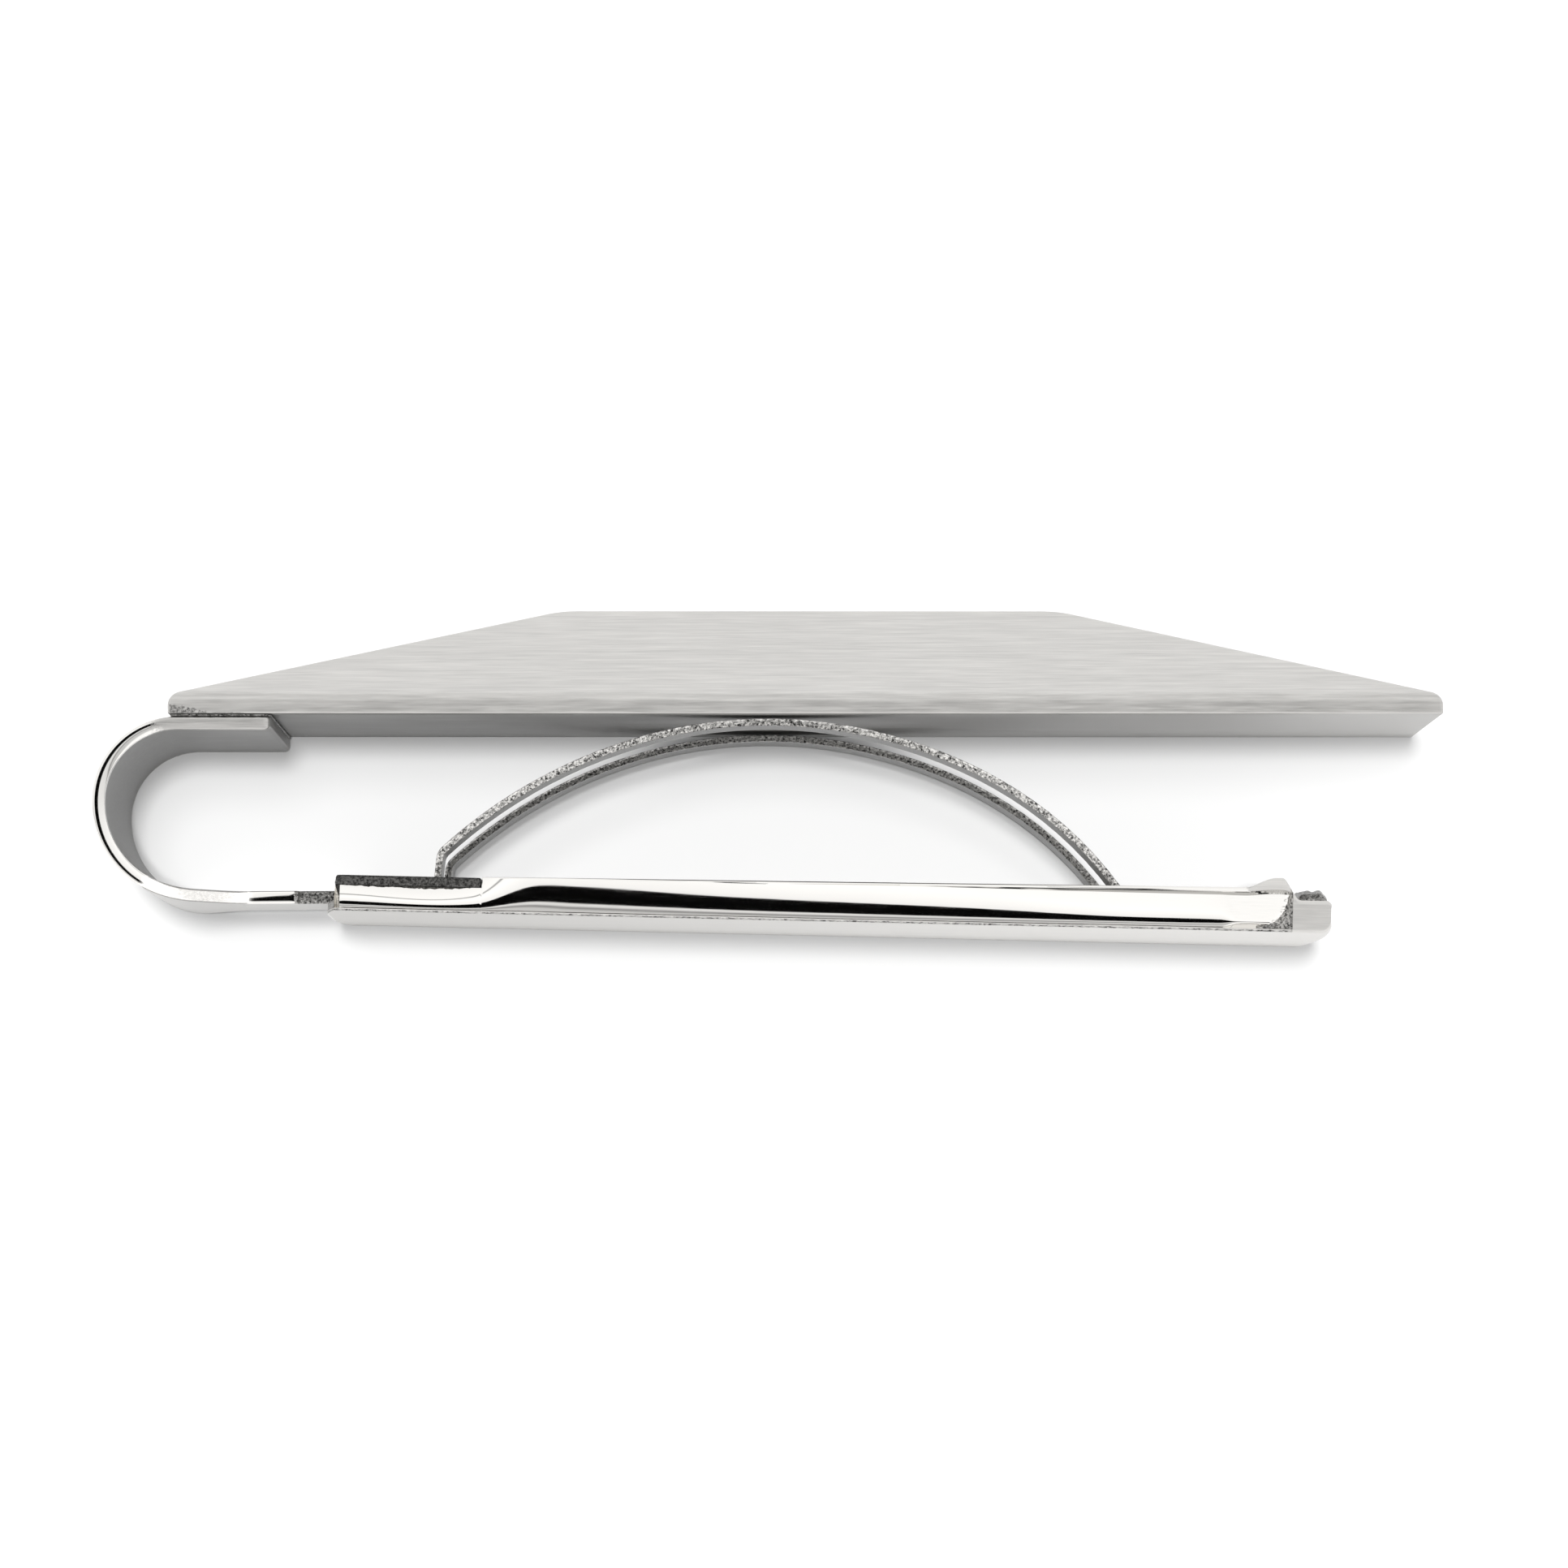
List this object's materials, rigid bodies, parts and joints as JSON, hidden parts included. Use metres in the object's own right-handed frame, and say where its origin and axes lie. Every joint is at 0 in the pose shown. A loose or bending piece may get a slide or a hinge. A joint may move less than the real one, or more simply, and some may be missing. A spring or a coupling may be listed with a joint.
{
  "type": "hinged money clip",
  "caption": "Hinged steel money clip: brushed hip-shaped face plate, bent spring strip, polished channel arm on a hinge and a forked bow spring.",
  "frame": {"origin": "centre of the bounding box in X and Y, on the flat long edge that the clip lies on", "axes": "+X along the clip from the bend to the thumb end, +Y from the back arm to the front plate, +Z across the clip's width, up"},
  "size_m": [0.0556, 0.0138, 0.02],
  "materials": {
    "plate_brushed": "fine straight brushed grain along the length, satin",
    "braze_filler": "dark rough filler line",
    "strip_steel": "polished edges, brushed tab edge, dull inner face",
    "pin_steel": "ground",
    "arm_polished": "mirror polished side grooves, satin back and thumb end, rough sheared edges at the barrel",
    "cover_steel": "plain steel plate with dark, rough sheared edges",
    "bow_steel": "plain spring steel with rough sheared edges"
  },
  "bodies": {
    "front": {"front_plate": "plate_brushed", "braze_seam": "braze_filler"},
    "strip": {"spring_strip": "strip_steel", "hinge_pin": "pin_steel"},
    "arm": {"back_arm": "arm_polished", "hinge_cover": "cover_steel"},
    "bow": {"bow_spring": "bow_steel"}
  },
  "joints": [
    {"name": "strip_flex", "type": "hinge", "parent": "front", "child": "strip", "pos_m": [-0.02754, -0.00152, 0.01], "axis": [0, 0, -1], "range_deg": [0, 4], "stiffness_Nm_per_rad": 3, "deforming": ["spring_strip"]},
    {"name": "arm_hinge", "type": "hinge", "parent": "strip", "child": "arm", "pos_m": [-0.01702, -0.00525, 0.01], "axis": [0, 0, -1], "range_deg": [0, 18]},
    {"name": "bow_flex", "type": "slide", "parent": "arm", "child": "bow", "axis": [0, -1, 0], "range_m": [0, 0.0015], "stiffness_N_per_m": 1500, "deforming": ["bow_spring"]}
  ]
}
